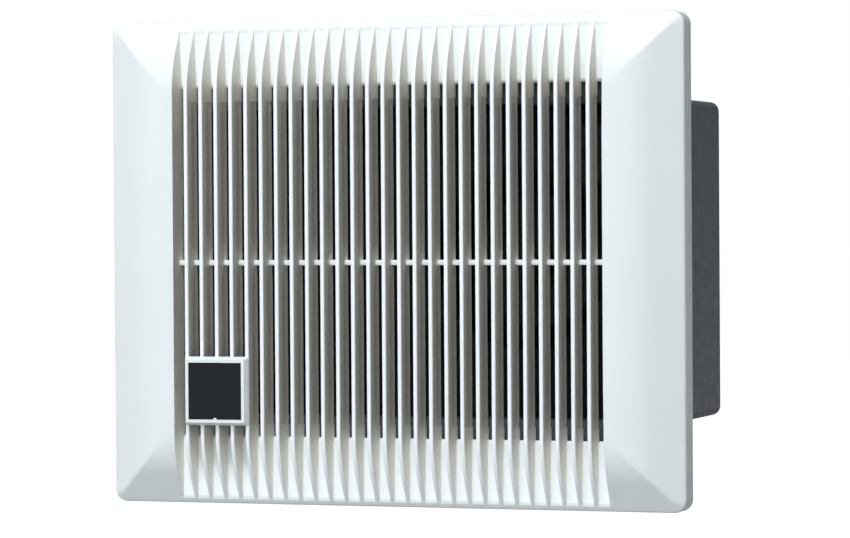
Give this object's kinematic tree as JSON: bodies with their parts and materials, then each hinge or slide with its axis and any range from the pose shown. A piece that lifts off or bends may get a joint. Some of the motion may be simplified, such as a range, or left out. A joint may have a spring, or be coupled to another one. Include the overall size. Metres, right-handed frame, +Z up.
{
  "type": "extractor fan",
  "caption": "Wall-set bathroom extractor fan with a slotted white front panel, a dark body for the wall, a centrifugal wheel and a round duct spigot with a flap.",
  "frame": {"origin": "centre of the wall-screw pattern, on the wall's face", "axes": "+X to the right seen from the room, +Y into the wall, +Z up"},
  "size_m": [0.297, 0.17, 0.24],
  "materials": {
    "panel_white": "moulded, very light bluish white",
    "badge_dark": "blue-black plate, no lettering",
    "housing_grey": "dark blue-grey moulding",
    "casing_black": "black moulding, fine-grained",
    "spigot_grey": "dark grey moulding",
    "flap_plastic": "thin grey moulding",
    "wheel_plastic": "black moulding",
    "zinc_steel": "zinc plated",
    "black_steel": "black passivated",
    "spring_steel": "ground or rolled",
    "lamination": "stacked laminations",
    "cast_aluminium": "die cast",
    "copper": "enamelled copper wire",
    "brass": "turned",
    "bronze": "sintered",
    "rubber": "moulded",
    "foam": "closed-cell foam",
    "nylon": "natural nylon",
    "terminal_plastic": "black moulding",
    "lead_sheath": "flexible sheath",
    "capacitor_case": "light grey case, no lettering"
  },
  "bodies": {
    "housing_body": {"housing": "housing_grey", "orifice_plate": "casing_black", "orifice_screws": "black_steel", "scroll_wall": "casing_black", "casing_back": "casing_black", "casing_screws": "black_steel", "spigot": "spigot_grey", "spigot_gasket": "foam", "spigot_screws": "zinc_steel", "shutter_pin": "spring_steel", "stator_core": "lamination", "stator_bobbins": "nylon", "stator_coils": "copper", "motor_front_cap": "zinc_steel", "motor_rear_cap": "zinc_steel", "bearing_front": "bronze", "bearing_rear": "bronze", "motor_plate": "zinc_steel", "motor_dampers": "rubber", "motor_screws": "zinc_steel", "motor_bolts": "zinc_steel", "terminal_base": "terminal_plastic", "base_screws": "black_steel", "terminal_cover": "terminal_plastic", "cover_screws": "black_steel", "terminal_block": "nylon", "terminal_inserts": "brass", "terminal_screws": "zinc_steel", "cable_clamp": "nylon", "clamp_screws": "zinc_steel", "cable_grommet": "rubber", "lead_bushes": "rubber", "motor_leads": "lead_sheath", "capacitor": "capacitor_case", "capacitor_lead": "lead_sheath", "capacitor_bracket": "zinc_steel", "capacitor_screws": "zinc_steel"},
    "front_panel": {"grille_panel": "panel_white", "badge_frame": "panel_white", "badge_plate": "badge_dark", "badge_retainer": "panel_white", "panel_clips": "spring_steel", "clip_screws": "zinc_steel"},
    "wheel_and_rotor": {"impeller": "wheel_plastic", "impeller_bush": "brass", "impeller_washer": "black_steel", "impeller_nut": "black_steel", "motor_shaft": "spring_steel", "rotor_core": "lamination", "rotor_end_rings": "cast_aluminium", "thrust_washers": "nylon"},
    "shutter": {"shutter_flap": "flap_plastic", "shutter_seal": "foam"}
  },
  "joints": [
    {"name": "panel_pull", "type": "slide", "parent": "housing_body", "child": "front_panel", "axis": [0, -1, 0], "range_m": [0, 0.04]},
    {"name": "impeller_spin", "type": "hinge", "parent": "housing_body", "child": "wheel_and_rotor", "pos_m": [0.058, 0.06, 0], "axis": [0, 1, 0], "continuous": true},
    {"name": "shutter_swing", "type": "hinge", "parent": "housing_body", "child": "shutter", "pos_m": [-0.072, 0.1078, 0.034], "axis": [1, 0, 0], "range_deg": [0, 65]}
  ]
}
